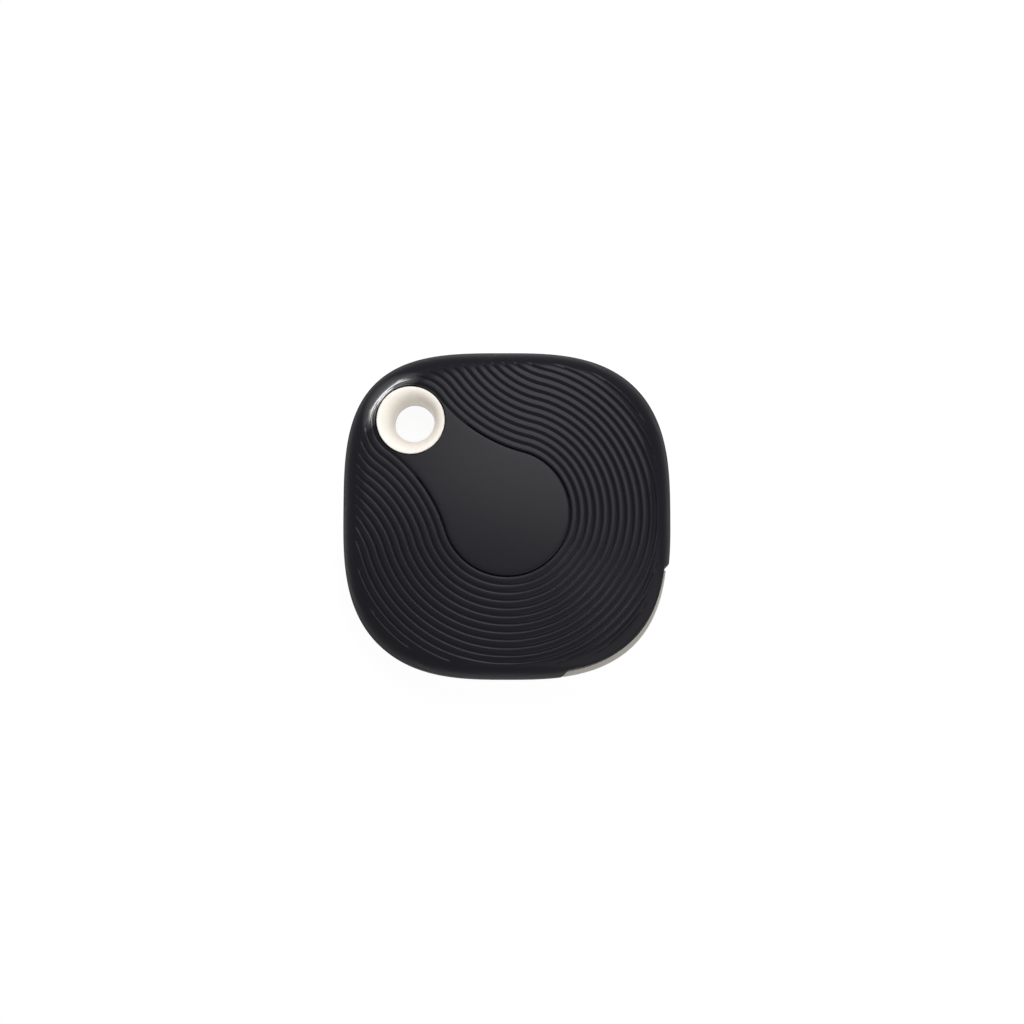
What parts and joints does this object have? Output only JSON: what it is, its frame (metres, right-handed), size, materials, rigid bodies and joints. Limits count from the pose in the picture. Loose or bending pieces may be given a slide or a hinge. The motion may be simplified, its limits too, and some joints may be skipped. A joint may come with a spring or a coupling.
{
  "type": "bluetooth tracker tag",
  "caption": "Rounded square tracker fob with ribbed black front cover, ivory rear shell, key-ring eyelet through one corner, flexing press tongue and lift-off cover over a coin cell.",
  "frame": {"origin": "middle of the flat back face of the rear shell, under the middle of the tag", "axes": "+Z out of the ribbed front face, +X to the right and +Y up as the front face is seen with the eyelet at its upper left"},
  "size_m": [0.04, 0.04, 0.01],
  "materials": {
    "black_grip": "satin moulded plastic with a fine grain, ribbed on the front",
    "ivory_shell": "semi-gloss ivory moulded plastic",
    "seal_rubber": "matt grey silicone",
    "dark_plastic": "matt black moulded plastic",
    "board_green": "green solder mask over fibreglass",
    "cell_steel": "plated steel can",
    "spring_steel": "bright stamped steel",
    "contact_gold": "gold-flashed spring bronze",
    "buzzer_brass": "rolled brass sheet",
    "white_ceramic": "silvered white ceramic",
    "tan_ceramic": "fired tan ceramic"
  },
  "bodies": {
    "rear": {"rear_shell": "ivory_shell", "ring_eyelet": "ivory_shell", "perimeter_gasket": "seal_rubber", "buzzer_plate": "buzzer_brass", "buzzer_ceramic": "white_ceramic"},
    "front": {"front_cover": "black_grip", "circuit_board": "board_green", "inner_frame": "dark_plastic", "coin_cell_can": "cell_steel", "coin_cell_seal": "dark_plastic", "coin_cell_cap": "cell_steel", "positive_clip": "spring_steel", "negative_contact": "contact_gold", "buzzer_spring_ceramic": "contact_gold", "buzzer_spring_brass": "contact_gold", "switch_base": "dark_plastic", "switch_frame": "spring_steel", "switch_dome": "spring_steel", "radio_chip": "dark_plastic", "timing_crystal": "spring_steel", "chip_antenna": "tan_ceramic", "buzzer_driver": "dark_plastic", "boost_inductor": "dark_plastic", "filter_capacitor_1": "tan_ceramic", "filter_capacitor_2": "tan_ceramic", "filter_capacitor_3": "tan_ceramic", "filter_capacitor_4": "tan_ceramic", "antenna_coil": "white_ceramic", "bulk_capacitor": "tan_ceramic"},
    "tongue": {"press_tongue": "black_grip", "tongue_seal_film": "seal_rubber"},
    "plunger": {"switch_plunger": "white_ceramic"}
  },
  "joints": [
    {"name": "cover_release", "type": "slide", "parent": "rear", "child": "front", "axis": [0, 0, 1], "range_m": [0, 0.012]},
    {"name": "press_flex", "type": "hinge", "parent": "front", "child": "tongue", "pos_m": [-0.0076, 0.00734, 0.0085], "axis": [0.695, 0.719, 0], "range_deg": [0, 1.4], "stiffness_Nm_per_rad": 0.85},
    {"name": "switch_travel", "type": "slide", "parent": "front", "child": "plunger", "axis": [0, 0, -1], "range_m": [0, 0.00026]}
  ],
  "couplings": [
    {"joint": "switch_travel", "follows": "press_flex", "m_per_rad": 0.0102}
  ]
}
